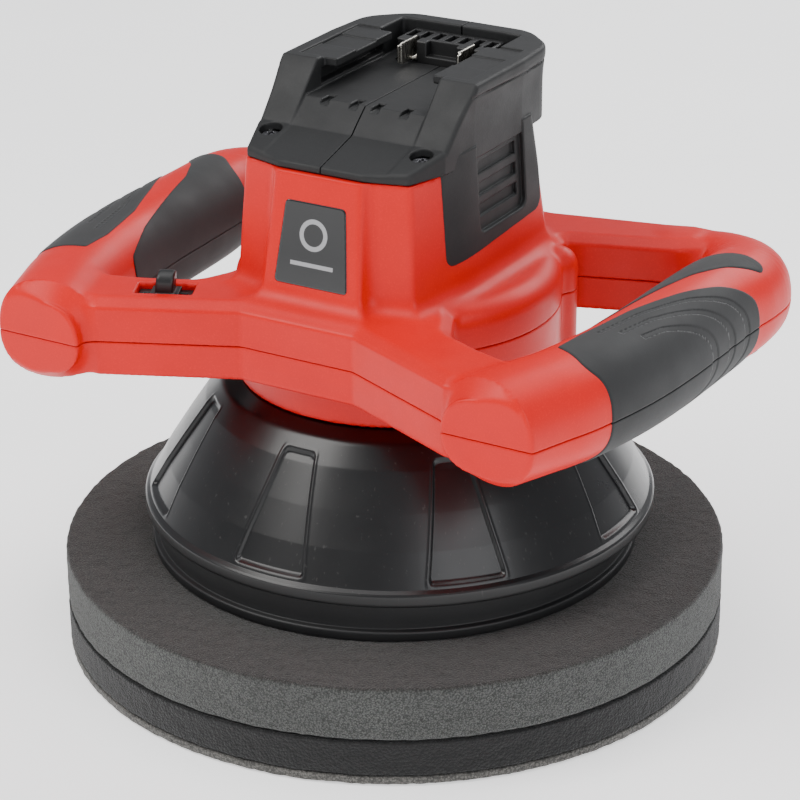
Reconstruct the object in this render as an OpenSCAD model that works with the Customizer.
// Cordless random-orbital car polisher: two D handles, a battery dock on top,
// a dome shroud over the orbital drive and a three-layer foam pad.
// Origin: centre of the pad on the floor. +Z up, the operator's switch side at -Y.

/* [Pad] */
// Diameter of the foam pad
pad_d = 240; // [200:1:260]
// Height of the soft working layer at the floor
foam_bottom_h = 3.5; // [2:0.5:6]
// Height of the firm middle layer
foam_middle_h = 13; // [8:0.5:20]
// Height of the top layer
foam_top_h = 20.3; // [12:0.5:30]
// Diameter of the centre hole in the foam, for the pad bolt
foam_hole_d = 34; // [26:1:50]
// Diameter of the backing plate
plate_d = 176; // [150:1:180]

/* [Orbit] */
// Distance between the spindle axis and the pad axis
ecc = 4; // [2:0.5:6]

/* [Shroud] */
// Outer diameter of the shroud at its rim
dome_rim_d = 185.3; // [180:1:200]
// Wall thickness of the shroud
dome_wall = 2.5; // [1.5:0.5:4]
// Number of recessed panels around the shroud
dome_panels = 8; // [6:1:10]

/* [Housing] */
// Height of the parting plane between the two housing halves
split_z = 126.7; // [126:0.1:127]
// Wall thickness of the housing
wall = 3; // [2:0.5:3.5]
// Thickness of the waist's floor
floor_t = 2.4; // [2:0.1:3]
// Thickness of the rubber grip skins
grip_t = 1.5; // [1:0.1:2]
// Gap between separate pieces that may not touch
gap = 0.3; // [0.2:0.05:0.4]

/* [Drive] */
// Gear module
gear_m = 0.7; // [0.7:0.05:0.7]
// Teeth on the spindle gear
gear_teeth = 36; // [36:12:36]
// Teeth on the motor pinion
pinion_teeth = 12; // [12:1:12]
// Diameter of the motor can
motor_d = 42; // [36:1:44]

/* [Switch] */

/* [Hidden] */
$fn = 64;

eps = 0.01;
black = [0.08, 0.08, 0.09];
rubber = [0.2, 0.2, 0.21];
red = [0.9, 0.16, 0.1];
steel = [0.72, 0.73, 0.75];
copper = [0.75, 0.42, 0.25];

// Foam and plate heights
foam_middle_z = foam_bottom_h;
foam_top_z = foam_middle_z + foam_middle_h;
plate_z = foam_top_z + foam_top_h;
plate_h = 7;
plate_rib_z = plate_z + 11;
hub_flange_z = plate_z + 15;

// Shroud outline, radius and height from the rim to the collar
dome_rim_z = 50.1;
dome_top_z = 100;
dome_rim_r = dome_rim_d / 2;
dome_profile = [[0, 0], [-2, 6], [-8, 17], [-15, 28], [-23, 40], [-29, 47], [-34, 49.9]];

// Drive heights
orbit_bearing_z = 58.5;
orbit_bearing_h = 8;
hub_top_z = 79;
boss_top_z = 92;
lower_bearing_z = 93;
lower_bearing_h = 9;
gear_z = 104.8;
gear_h = 6;
gear_plate_z = 112;
gear_plate_h = 5;
motor_z = gear_plate_z + gear_plate_h;
motor_h = 52;
core_h = 22;
motor_y = -gear_m * (gear_teeth + pinion_teeth) / 2;
shaft_r = 2.5;
spindle_r = 5;

// Handle stations: x, y, heading, half width, height above and depth below the split
bar_path = [
    [84.5, -96, 90, 14.9, 14, 13.5], [86, -91.5, 88, 18.4, 20, 19],
    [96, -64.7, 74, 17.6, 20, 19.5], [103.4, -24, 84, 17.7, 20, 19.5],
    [105, 10, 88, 17.2, 20, 19.5], [105.8, 33, 89, 17, 19.6, 19],
    [106.4, 56, 94, 17, 18, 17], [102.4, 69.5, 128, 16, 16.6, 14.5],
    [86.5, 73, 184, 13, 15.6, 12.6], [60, 65.5, 194, 12.4, 15.4, 12.2],
    [34, 58.5, 196, 13, 15.4, 12.2]
];
front_arm_path = [
    [20, -53.5, -24, 15, 15.4, 12.2], [60, -71.3, -24, 13.2, 15.4, 12.2],
    [84, -81.5, -24, 12.6, 15.4, 12.2]
];
waist = [[22, -68.5], [46, -57.5], [46, 60], [27.5, 67.8]];
waist_r = 57.5;
tower_low = [[21, -55], [35, -50], [41, -22], [41, 36], [30, 45]];
tower_high = [[16.4, -52], [31.6, -47], [37.5, -24], [38.5, 26], [30, 36]];
waist_low_z = 114.5;
waist_top_z = 142.1;
tower_top_z = 187;

// Grip regions in plan, right side
outer_grip = [
    [93, -58], [95, -33], [101.8, -9], [112, 10], [123, 32], [140, 40], [140, -64], [106, -66.5]
];
inner_grip = [
    [70, -44], [84, -41], [95, -20], [101, 1], [105, 24], [114, 37.5], [119, 46], [112.8, 51],
    [102, 47], [70, 46]
];

// Switch place on the left front arm
switch_xy = [-52.9, -67.6];
switch_heading = 204;
switch_window = [19.5, 10];

// Screw places
dome_screw_r = 50;
housing_screw_xy = [[41, -52], [41, 52], [101, -50], [104, 45]];
plate_screw_r = 41;

// A closed polygon mirrored about the YZ plane
function both_sides(p) = concat(p, [for (i = [len(p) - 1:-1:0]) [-p[i][0], p[i][1]]]);

// Half of a superellipse ring, standing across the path at one station
function half_ring(s, inset, up, n) = [
    for (i = [0:n])
        let (
            t = 180 * i / n,
            w = s[3] - inset,
            h = up ? s[4] - inset : -(s[5] - inset),
            u = w * sign(cos(t)) * pow(abs(cos(t)), 0.62),
            v = h * pow(sin(t), 0.62)
        )
        [s[0] + u * sin(s[2]), s[1] - u * cos(s[2]), split_z + v]
];

// Solid through a list of rings that all have the same number of points
module loft(rings, flip = false) {
    n = len(rings[0]);
    m = len(rings);
    sides = [
        for (j = [0:m - 2], i = [0:n - 1])
            let (a = j * n + i, b = j * n + (i + 1) % n, c = b + n, d = a + n)
            each (flip ? [[a, b, c], [a, c, d]] : [[a, c, b], [a, d, c]])
    ];
    first = [for (i = [0:n - 1]) flip ? n - 1 - i : i];
    last = [for (i = [0:n - 1]) (m - 1) * n + (flip ? i : n - 1 - i)];
    polyhedron([for (r = rings) each r], concat([first], sides, [last]));
}

// One half of a handle tube, above or below the split
module tube_half(path, inset, up) {
    rings = [for (s = path) half_ring(s, inset, up, 8)];
    loft(rings, flip = up);
}

// Place children at the spindle axis
module on_spindle() {
    translate([0, ecc, 0]) children();
}

// Repeat children on both sides
module mirrored() {
    children();
    mirror([1, 0, 0]) children();
}

// Shell ring between two radii
module ring(r_out, r_in, h) {
    difference() {
        cylinder(h = h, r = r_out);
        translate([0, 0, -eps]) cylinder(h = h + 2 * eps, r = r_in);
    }
}

// Children on a circle
module around(n, r, start = 0) {
    for (i = [0:n - 1]) rotate(start + i * 360 / n) translate([r, 0, 0]) children();
}

// Screw pointing up: head at z = 0 downward, shank upward
module screw_up(r, l, head_r, head_h) {
    cylinder(h = l, r = r);
    translate([0, 0, -head_h]) difference() {
        cylinder(h = head_h + eps, r = head_r);
        translate([0, 0, -eps]) cylinder(h = head_h * 0.6, r = head_r * 0.45, $fn = 6);
    }
}

// ---------- pad ----------
module foam_layer(z, h) {
    translate([0, 0, z]) ring(pad_d / 2, foam_hole_d / 2, h);
}
module foam_bottom() {
    color([0.35, 0.34, 0.33]) foam_layer(0, foam_bottom_h);
}
module foam_middle() {
    color(black) foam_layer(foam_middle_z, foam_middle_h);
}
module foam_top() {
    color([0.3, 0.29, 0.27]) foam_layer(foam_top_z, foam_top_h);
}
module backing_plate() {
    color(black) difference() {
        union() {
            translate([0, 0, plate_z]) cylinder(h = plate_h, r = plate_d / 2);
            cylinder(h = hub_flange_z, r = 20);
            translate([0, 0, plate_z]) ring(plate_d / 2 - 2, plate_d / 2 - 5, plate_rib_z - plate_z);
            for (i = [0:7]) rotate(i * 45 + 22.5)
                translate([18, -1.5, plate_z]) cube([plate_d / 2 - 21, 3, plate_rib_z - plate_z]);
        }
        translate([0, 0, -eps]) cylinder(h = plate_z + eps, r = 21);
        translate([0, 0, plate_z - eps]) cylinder(h = 6, r = 10.5);
        cylinder(h = hub_flange_z + 1, r = 4.05);
    }
}
module pad_spindle() {
    color(steel) difference() {
        union() {
            translate([0, 0, hub_flange_z]) cylinder(h = 4.5, r = 17);
            translate([0, 0, hub_flange_z + 4]) cylinder(h = orbit_bearing_z - hub_flange_z - 4, r = 8);
            translate([0, 0, hub_flange_z + 4]) cylinder(h = 76 - hub_flange_z - 4, r = 6);
        }
        translate([0, 0, hub_flange_z - eps]) cylinder(h = 19, r = 4.05);
    }
}
module pad_bolt() {
    color(steel) {
        translate([0, 0, plate_z + 6]) cylinder(h = 25, r = 4);
        translate([0, 0, plate_z + 6 - 1.6]) ring(9, 4, 1.6);
        translate([0, 0, plate_z + 0.4]) cylinder(h = 4, r = 7.4, $fn = 6);
        translate([0, 0, plate_z + 4]) cylinder(h = 2, r = 4);
    }
}

// ---------- orbital drive ----------
// One ball bearing, outer ring with its balls
module bearing_outer(r_out, r_in, h, balls) {
    mid = (r_out + r_in) / 2;
    ball_r = (r_out - r_in) * 0.27;
    difference() {
        ring(r_out, mid + ball_r * 0.55, h);
        translate([0, 0, h / 2]) rotate_extrude() translate([mid, 0]) circle(r = ball_r);
    }
    around(balls, mid) translate([0, 0, h / 2]) sphere(r = ball_r - eps, $fn = 24);
}
// One ball bearing, inner ring
module bearing_inner(r_out, r_in, h) {
    mid = (r_out + r_in) / 2;
    ball_r = (r_out - r_in) * 0.27;
    difference() {
        ring(mid - ball_r * 0.55, r_in, h);
        translate([0, 0, h / 2]) rotate_extrude() translate([mid, 0]) circle(r = ball_r + gap);
    }
}
module orbit_bearing_places() {
    translate([0, 0, orbit_bearing_z]) children();
    translate([0, 0, orbit_bearing_z + orbit_bearing_h + 0.6]) children();
}
module pad_bearing_outer() {
    color(steel) orbit_bearing_places() bearing_outer(14, 6, orbit_bearing_h, 9);
}
module pad_bearing_inner() {
    color(steel) orbit_bearing_places() bearing_inner(14, 6, orbit_bearing_h);
}
module eccentric_hub() {
    color([0.45, 0.45, 0.47]) difference() {
        union() {
            translate([0, 0, orbit_bearing_z - 0.5])
                cylinder(h = hub_top_z - orbit_bearing_z + 0.5, r = 18.5);
            on_spindle() translate([0, 0, hub_top_z - 1]) cylinder(h = boss_top_z - hub_top_z + 1, r = 12);
        }
        translate([0, 0, 50]) cylinder(h = orbit_bearing_z + 2 * orbit_bearing_h + 0.65 - 50, r = 14);
        translate([0, 0, -eps]) cylinder(h = 77, r = 9);
        on_spindle() translate([0, 0, 79.5]) cylinder(h = 20, r = spindle_r);
    }
}
module counterweight() {
    color([0.4, 0.41, 0.42]) on_spindle() difference() {
        translate([0, 0, hub_top_z]) union() {
            cylinder(h = 10, r = 19);
            intersection() {
                cylinder(h = 10, r = 48);
                rotate(90) linear_extrude(10) polygon([[0, 0], [90, -66], [90, 66]]);
            }
        }
        cylinder(h = 200, r = 12);
        around(2, 15.5) translate([0, 0, 80]) cylinder(h = 40, r = 1.6);
    }
}
module counterweight_screws() {
    color(steel) on_spindle() around(2, 15.5) translate([0, 0, hub_top_z + 1]) {
        cylinder(h = 9, r = 1.55);
        translate([0, 0, 9]) cylinder(h = 2, r = 3);
    }
}
module spindle() {
    color(steel) on_spindle() {
        translate([0, 0, 79.5]) cylinder(h = gear_plate_z - 0.5 - 79.5, r = spindle_r);
        translate([0, 0, gear_plate_z - 0.6]) cylinder(h = gear_plate_h + 0.4, r = 3);
    }
}
module lower_bearing_outer() {
    color(steel) on_spindle() translate([0, 0, lower_bearing_z])
        bearing_outer(15, spindle_r, lower_bearing_h, 9);
}
module lower_bearing_inner() {
    color(steel) on_spindle() translate([0, 0, lower_bearing_z])
        bearing_inner(15, spindle_r, lower_bearing_h);
}
module upper_bearing_outer() {
    color(steel) on_spindle() translate([0, 0, gear_plate_z]) bearing_outer(7.5, 3, gear_plate_h, 8);
}
module upper_bearing_inner() {
    color(steel) on_spindle() translate([0, 0, gear_plate_z]) bearing_inner(7.5, 3, gear_plate_h);
}

// Involute flank point at radius r, as an angle from the tooth's centre line
function flank_angle(r, base_r, half) =
    let (k = sqrt(max(0, pow(r / base_r, 2) - 1))) half - (k * 180 / PI - atan(k));
// Spur gear outline with relieved tips and backlash
module gear_outline(teeth) {
    pitch_r = gear_m * teeth / 2;
    base_r = pitch_r * cos(20);
    tip_r = pitch_r + gear_m * 0.78;
    root_r = pitch_r - gear_m * 1.15;
    k = sqrt(pow(pitch_r / base_r, 2) - 1);
    half = 90 / teeth - 4.5 / teeth + k * 180 / PI - atan(k);
    steps = 5;
    flank_r = [for (i = [0:steps]) max(base_r, root_r) + (tip_r - max(base_r, root_r)) * i / steps];
    low = root_r < base_r ? [[root_r, half * 0.94]] : [];
    right = concat(low, [for (r = flank_r) [r, flank_angle(r, base_r, half)]]);
    tooth = concat([for (p = right) [p[0], -p[1]]], [for (i = [len(right) - 1:-1:0]) right[i]]);
    polygon([
        for (t = [0:teeth - 1], p = tooth)
            let (a = t * 360 / teeth + p[1]) [p[0] * cos(a), p[0] * sin(a)]
    ]);
}
module spindle_gear() {
    color(steel) on_spindle() translate([0, 0, gear_z]) difference() {
        rotate(180 / gear_teeth) linear_extrude(gear_h) gear_outline(gear_teeth);
        translate([0, 0, -eps]) cylinder(h = gear_h + 1, r = spindle_r);
        around(5, 8.6, 18) translate([0, 0, -1]) cylinder(h = gear_h + 2, r = 1.7, $fn = 24);
    }
}

// ---------- motor ----------
module on_motor() {
    translate([0, ecc + motor_y, 0]) children();
}
module motor_pinion() {
    color(steel) on_motor() translate([0, 0, gear_z]) difference() {
        linear_extrude(gear_h + 0.2) gear_outline(pinion_teeth);
        translate([0, 0, -eps]) cylinder(h = gear_h + 1, r = shaft_r - 0.5);
    }
}
module motor_shaft() {
    color(steel) on_motor() {
        translate([0, 0, gear_z]) cylinder(h = gear_h + 0.4, r = shaft_r - 0.5);
        translate([0, 0, gear_z + gear_h + 0.3]) cylinder(h = motor_h + 14 , r = shaft_r);
    }
}
module motor_can() {
    color(steel) on_motor() translate([0, 0, motor_z]) difference() {
        union() {
            cylinder(h = motor_h, r = motor_d / 2);
            translate([0, 0, -3.5]) cylinder(h = 4, r = 6);
        }
        translate([0, 0, 2]) cylinder(h = motor_h, r = motor_d / 2 - 2);
        translate([0, 0, -4]) cylinder(h = 7, r = 4.5);
        around(6, motor_d / 2) translate([0, 0, 10]) rotate([0, 90, 0])
            cylinder(h = 8, r = 2.5, center = true, $fn = 24);
        around(2, 10) translate([0, 0, -1]) cylinder(h = 4, r = 1.5);
    }
}
module motor_magnets() {
    color([0.2, 0.2, 0.22]) on_motor() translate([0, 0, motor_z + 16]) intersection() {
        ring(motor_d / 2 - 2, motor_d / 2 - 5.2, 30);
        mirrored() linear_extrude(30) polygon([[1, 0], [40, -48], [40, 48]]);
    }
}
module motor_end_cap() {
    color(black) on_motor() translate([0, 0, motor_z + motor_h]) difference() {
        union() {
            cylinder(h = 4, r = motor_d / 2);
            cylinder(h = 10, r = 7);
            for (a = [0, 180]) rotate(a) translate([6, -4, -9]) cube([9, 8, 11]);
        }
        translate([0, 0, -1]) cylinder(h = 20, r = 4.5);
        for (a = [0, 180]) rotate(a) translate([5, -2.6, -7]) cube([9, 5.2, 5.2]);
        for (a = [60, 120, 240, 300]) rotate(a) translate([13, 0, -1]) cylinder(h = 8, r = 3, $fn = 24);
    }
}
module carbon_brushes() {
    color([0.16, 0.15, 0.15]) on_motor() for (a = [0, 180]) rotate(a)
        translate([6.3, -2.5, motor_z + motor_h - 6.9]) cube([7.5, 5, 5]);
}
module motor_bushings() {
    color([0.7, 0.5, 0.3]) on_motor() {
        translate([0, 0, motor_z - 2.5]) ring(4.5, shaft_r + 0.05, 5);
        translate([0, 0, motor_z + motor_h + 4]) ring(4.5, shaft_r + 0.05, 5);
    }
}
module rotor_core() {
    color([0.5, 0.5, 0.52]) on_motor() translate([0, 0, motor_z + 15]) difference() {
        cylinder(h = core_h, r = motor_d / 2 - 5.8);
        translate([0, 0, -eps]) cylinder(h = core_h + 1, r = shaft_r);
        around(9, 11.5) translate([0, 0, -1]) cylinder(h = core_h + 2, r = 3, $fn = 24);
        around(9, 15) translate([-2, -0.6, -1]) cube([4, 1.2, core_h + 2]);
    }
}
module rotor_windings() {
    color(copper) on_motor() translate([0, 0, motor_z + 15]) {
        translate([0, 0, -4]) ring(14.4, 4, 4);
        translate([0, 0, core_h]) ring(14.4, 7, 3.5);
        around(9, 11.5) translate([0, 0, -1]) cylinder(h = core_h + 2, r = 2.5, $fn = 24);
    }
}
module commutator() {
    color(copper) on_motor() translate([0, 0, motor_z + 47.2]) difference() {
        ring(5.8, shaft_r, 0.1 + 4.6);
        around(9, 5.8) translate([-0.8, -0.25, -1]) cube([2, 0.5, 8]);
    }
}
module motor_fan() {
    color(black) on_motor() translate([0, 0, motor_z + 3]) {
        ring(17.5, shaft_r, 1.5);
        ring(5, shaft_r, 7);
        around(10, 0) rotate(20) translate([4.5, -0.6, 1]) cube([12, 1.2, 6]);
    }
}
module motor_screws() {
    color(steel) on_motor() around(2, 10) translate([0, 0, gear_plate_z]) {
        cylinder(h = gear_plate_h + 1.8, r = 1.45);
        translate([0, 0, -1]) cylinder(h = 1, r = 2.8);
    }
}
module gearbox_plate() {
    color([0.7, 0.71, 0.72]) difference() {
        on_spindle() translate([0, 0, gear_plate_z]) cylinder(h = gear_plate_h, r = 45);
        on_spindle() cylinder(h = 200, r = 7.5);
        on_motor() cylinder(h = 200, r = 6);
        on_motor() around(2, 10) cylinder(h = 200, r = 1.5);
        on_spindle() around(4, plate_screw_r, 45) cylinder(h = 200, r = 1.7);
    }
}
module gearbox_screws() {
    color(steel) on_spindle() around(4, plate_screw_r, 45) {
        translate([0, 0, gear_plate_z - 7]) cylinder(h = gear_plate_h + 7, r = 1.6);
        translate([0, 0, motor_z]) cylinder(h = 2.4, r = 3.2);
    }
}

// ---------- shroud ----------
function dome_outline(inset) = [for (p = dome_profile) [dome_rim_r + p[0] - inset, dome_rim_z + p[1]]];
module dome_shroud() {
    in = dome_outline(dome_wall);
    color(black) on_spindle() difference() {
        rotate_extrude($fn = 96) polygon(concat(
            dome_outline(0), [[24, dome_top_z], [24, dome_top_z - dome_wall]],
            [for (i = [len(in) - 1:-1:0]) [in[i][0], in[i][1] - (i == 0 ? 0 : dome_wall * 0.5)]]
        ));
        for (i = [0:dome_panels - 1]) rotate(i * 360 / dome_panels - 6) rotate_extrude(angle = 12, $fn = 96)
            polygon([[87, 60], [92, 60], [68, 93], [66.2, 93]]);
        around(6, dome_screw_r, 30) cylinder(h = 200, r = 2.2);
    }
}
module dome_screws() {
    color(steel) on_spindle() around(6, dome_screw_r, 30)
        translate([0, 0, dome_top_z - dome_wall - 0.1]) screw_up(2, 11.5, 3.8, 2.4);
}

// ---------- housing ----------
module grip_region(outer) {
    linear_extrude(400) polygon(outer ? outer_grip : inner_grip);
}
module grip_skin(outer, up) {
    intersection() {
        difference() {
            tube_half(bar_path, 0, up);
            tube_half(bar_path, grip_t, up);
        }
        grip_region(outer);
    }
}
module grip(right, outer, up) {
    color(rubber) on_spindle() mirror([right ? 0 : 1, 0, 0]) grip_skin(outer, up);
}
// Handles on both sides, above or below the split
module handles(up) {
    mirrored() difference() {
        union() {
            tube_half(bar_path, 0, up);
            tube_half(front_arm_path, 0, up);
        }
        difference() {
            translate([0, 0, up ? split_z : split_z - 60]) linear_extrude(60) {
                polygon(outer_grip);
                polygon(inner_grip);
            }
            tube_half(bar_path, grip_t, up);
        }
    }
}
module handle_hollow(up) {
    mirrored() {
        tube_half(bar_path, wall + grip_t, up);
        tube_half(front_arm_path, wall, up);
    }
}
module switch_place(z) {
    translate([switch_xy[0], switch_xy[1], z]) rotate(switch_heading) children();
}

// Waist block: a round body with a flat-faced block across it
module waist_block(inset, low, high) {
    translate([0, 0, low]) {
        cylinder(h = high - low, r = waist_r - inset);
        linear_extrude(high - low) offset(delta = -inset) polygon(both_sides(waist));
    }
}
// Tower above the waist, leaning in towards the dock, stretched by reach at both ends
module tower(inset, reach) {
    hull() {
        translate([0, 0, waist_top_z - 2 - reach]) linear_extrude(1)
            offset(delta = -inset) polygon(both_sides(tower_low));
        translate([0, 0, tower_top_z - 1 + reach / 4]) linear_extrude(1)
            offset(delta = -inset) polygon(both_sides(tower_high));
    }
}
module housing_screw_places() {
    mirrored() for (p = housing_screw_xy) translate([p[0], p[1], 0]) children();
}
module side_panel_cut(x, grow) {
    mirrored() translate([x, -33 - grow, 154 - grow]) cube([20, 64 + 2 * grow, 60]);
}
module upper_housing() {
    color(red) on_spindle() difference() {
        union() {
            handles(true);
            waist_block(0, split_z, waist_top_z);
            tower(0, 0);
        }
        difference() {
            union() {
                handle_hollow(true);
                waist_block(wall, split_z - 1, waist_top_z - wall);
                tower(wall, 8);
            }
            housing_screw_places() translate([0, 0, split_z]) cylinder(h = 17, r = 4.5);
        }
        housing_screw_places() translate([0, 0, split_z - 1]) cylinder(h = 10, r = 1.8);
        side_panel_cut(35.5, 0.1);
        switch_place(waist_top_z - 8) translate([-switch_window[0] / 2, -switch_window[1] / 2, 0])
            cube([switch_window[0], switch_window[1], 20]);
        label_block(0.1);
    }
}
// Room inside the lower half, around the screw bosses
module lower_cavity() {
    difference() {
        union() {
            handle_hollow(false);
            waist_block(wall, waist_low_z + floor_t, split_z + 9);
            translate([0, 0, dome_top_z + 4]) cylinder(h = 40, r = 48);
        }
        housing_screw_places() cylinder(h = 200, r = 5.5);
    }
}
module lower_housing() {
    color(red) on_spindle() difference() {
        union() {
            difference() {
                union() {
                    handles(false);
                    waist_block(0, waist_low_z, split_z);
                    translate([0, 0, dome_top_z]) cylinder(h = split_z - dome_top_z, r = waist_r);
                }
                lower_cavity();
            }
            translate([0, 0, lower_bearing_z]) cylinder(h = 11.5, r = 19);
            around(6, dome_screw_r, 30) translate([0, 0, dome_top_z]) cylinder(h = 11.5, r = 4.8);
            around(4, plate_screw_r, 45) translate([0, 0, dome_top_z])
                cylinder(h = gear_plate_z - dome_top_z, r = 4.5);
        }
        translate([0, 0, lower_bearing_z - 1]) cylinder(h = lower_bearing_h + 1, r = 15);
        translate([0, 0, lower_bearing_z - 1]) cylinder(h = 20, r = 12.5);
        around(6, dome_screw_r, 30) translate([0, 0, dome_top_z - 1]) cylinder(h = 11, r = 2.05);
        around(4, plate_screw_r, 45) translate([0, 0, dome_top_z + 3]) cylinder(h = 10, r = 1.6);
        housing_screw_places() {
            translate([0, 0, 100]) cylinder(h = 60, r = 2.1);
            translate([0, 0, 90]) cylinder(h = 30, r = 3.6);
        }
    }
}
module housing_screws() {
    color(steel) on_spindle() housing_screw_places() {
        translate([0, 0, 120]) cylinder(h = 15, r = 1.75);
        translate([0, 0, 117.5]) cylinder(h = 2.5, r = 3.3);
    }
}
module label_block(grow) {
    translate([0, -58.6, 149.2]) rotate([-11.5, 0, 0]) translate([-14 - grow, 0, -grow])
        cube([28 + 2 * grow, 6, 30 + 2 * grow]);
}
module label_plate() {
    color("black") on_spindle() intersection() {
        label_block(0);
        translate([0, -58.6, 149.2]) rotate([-11.5, 0, 0]) translate([-20, -1, -3]) cube([40, 4, 40]);
    }
}

// ---------- switch ----------
module switch_frame() {
    w = switch_window;
    color("dimgray") on_spindle() switch_place(waist_top_z - wall) difference() {
        translate([-w[0] / 2, -w[1] / 2, 0]) cube([w[0], w[1], wall]);
        translate([-w[0] / 2 + 1, -w[1] / 2 + 1, -1]) cube([w[0] - 2, w[1] - 2, 9]);
    }
}
module switch_slider() {
    color("black") on_spindle() switch_place(waist_top_z - wall - 2) {
        translate([-3.1, -3.2, 1]) cube([6.2, 6.4, wall + 7.5]);
        translate([-13.5, -4, 0]) cube([27, 8, 1.4]);
        translate([-1, -1.2, -4.5]) cube([2, 2.4, 5]);
    }
}
module switch_body() {
    color("dimgray") on_spindle() switch_place(waist_top_z - wall - 2.6) difference() {
        translate([-14, -6, -16]) cube([28, 12, 16]);
        translate([-7, -1.8, -6]) cube([14, 3.6, 7]);
    }
}

// ---------- battery dock ----------
dock_back = 51;
dock_floor_z = 202.5;
dock_rim_z = 213.5;
dock_half_w = 36;
slot_half_w = 23.8;
// Side outline of the dock walls: y, z
dock_wall_profile = [
    [-49, 187], [-49.5, 189.5], [-31.1, 195.5], [-13, dock_rim_z], [dock_back, dock_rim_z],
    [dock_back, 207], [40, 187]
];
// Side outline of the dock floor block: y, z
dock_floor_profile = [
    [-49, 187], [-49.5, 189.5], [-31.1, 195.5], [-23, dock_floor_z], [44, dock_floor_z],
    [44, dock_rim_z], [dock_back, dock_rim_z], [dock_back, 207], [40, 187]
];
// Extrude a side outline from x = a to x = b
module slab_x(a, b, outline) {
    translate([a, 0, 0]) rotate([90, 0, 90]) linear_extrude(b - a) polygon(outline);
}
module dock_half() {
    difference() {
        union() {
            slab_x(0.05, dock_half_w, dock_floor_profile);
            slab_x(slot_half_w, dock_half_w, dock_wall_profile);
            slab_x(18.8, slot_half_w + 1, [[-9, 209.5], [-9, 212.8], [29, 212.8], [29, 209.5]]);
            translate([35.7, -32.8, 154.2]) cube([3.3, 63.6, 50]);
        }
        translate([-1, -37, 180]) cube([dock_half_w - 2.5, 72, 19.5]);
        translate([-1, 22, 190]) cube([19, 18, 30]);
        translate([29.4, -35.1, 150]) cylinder(h = 60, r = 1.9);
        translate([29.4, -35.1, 191.2]) cylinder(h = 60, r = 4);
        for (i = [0:3]) translate([30, -10, 164.5 + i * 7]) cube([20, 27, 3.4]);
        translate([39.2, -34, 150]) cube([10, 100, 37]);
    }
}
module dock_right() {
    color([0.18, 0.19, 0.2]) on_spindle() dock_half();
}
module dock_left() {
    color([0.18, 0.19, 0.2]) on_spindle() mirror([1, 0, 0]) dock_half();
}
module dock_screws() {
    color(steel) on_spindle() mirrored() translate([29.4, -35.1, 176]) {
        cylinder(h = 15.2, r = 1.85);
        translate([0, 0, 15.2]) cylinder(h = 2.4, r = 3.6);
    }
}
module terminal_block() {
    color("black") on_spindle() difference() {
        translate([-17.8, 30, 190.1]) cube([35.6, 9.8, 19]);
        for (i = [-2:2]) translate([i * 6 - 1.6, 32, 203]) cube([3.2, 5, 9]);
        mirrored() translate([11, 20, 185]) cube([1, 14, 26]);
    }
}
module terminal_blades() {
    color(steel) on_spindle() mirrored() {
        translate([11.1, 22.5, 203.2]) cube([0.8, 11, 8.3]);
        translate([11.1, 30.2, 186]) cube([0.8, 2.6, 18]);
    }
}

// ---------- electronics ----------
module control_board() {
    color([0.1, 0.35, 0.2]) on_spindle() translate([-24, 29, 144]) cube([48, 1.6, 34]);
}
module control_heatsink() {
    color([0.7, 0.71, 0.72]) on_spindle() translate([-15, 18, 150]) difference() {
        cube([30, 11, 24]);
        for (i = [0:5]) translate([2 + i * 4.6, -1, -1]) cube([2.6, 8, 26]);
    }
}
// Round wire along a list of points
module wire(points, r) {
    n = len(points);
    rings = [
        for (i = [0:n - 1])
            let (
                a = points[max(i - 1, 0)], b = points[min(i + 1, n - 1)],
                d = (b - a) / norm(b - a),
                s = abs(d[2]) > 0.9 ? [1, 0, 0] : [0, 0, 1],
                u = cross(d, s) / norm(cross(d, s)), v = cross(d, u)
            )
            [for (k = [0:7]) points[i] + r * (cos(k * 45) * u + sin(k * 45) * v)]
    ];
    loft(rings);
}
module battery_leads() {
    color("firebrick") on_spindle() mirrored()
        wire([[11.5, 32, 185.8], [12, 33, 182], [16, 33.5, 176], [19, 33, 168], [19, 32.2, 160]], 1.2);
}
module motor_leads() {
    color("firebrick") on_spindle() mirrored()
        wire([[16, 28.5, 147], [20, 24, 146.5], [25.5, 12, 150], [25.5, -6, 160], [24, -16, 172]], 1.2);
}

upper_housing();
lower_housing();
dock_left();
dock_right();
label_plate();
grip(false, true, true);  // grip_left_outer_upper
grip(false, true, false);  // grip_left_outer_lower
grip(false, false, true);  // grip_left_inner_upper
grip(false, false, false);  // grip_left_inner_lower
grip(true, true, true);  // grip_right_outer_upper
grip(true, true, false);  // grip_right_outer_lower
grip(true, false, true);  // grip_right_inner_upper
grip(true, false, false);  // grip_right_inner_lower
dome_shroud();
backing_plate();
foam_top();
foam_middle();
foam_bottom();
pad_spindle();
pad_bolt();
eccentric_hub();
counterweight();
counterweight_screws();
spindle();
spindle_gear();
motor_pinion();
lower_bearing_outer();
lower_bearing_inner();
upper_bearing_outer();
upper_bearing_inner();
pad_bearing_outer();
pad_bearing_inner();
gearbox_plate();
motor_can();
motor_magnets();
motor_end_cap();
rotor_core();
rotor_windings();
motor_shaft();
commutator();
carbon_brushes();
motor_fan();
motor_bushings();
switch_slider();
switch_body();
switch_frame();
control_board();
control_heatsink();
terminal_block();
terminal_blades();
dock_screws();
housing_screws();
dome_screws();
gearbox_screws();
motor_screws();
battery_leads();
motor_leads();
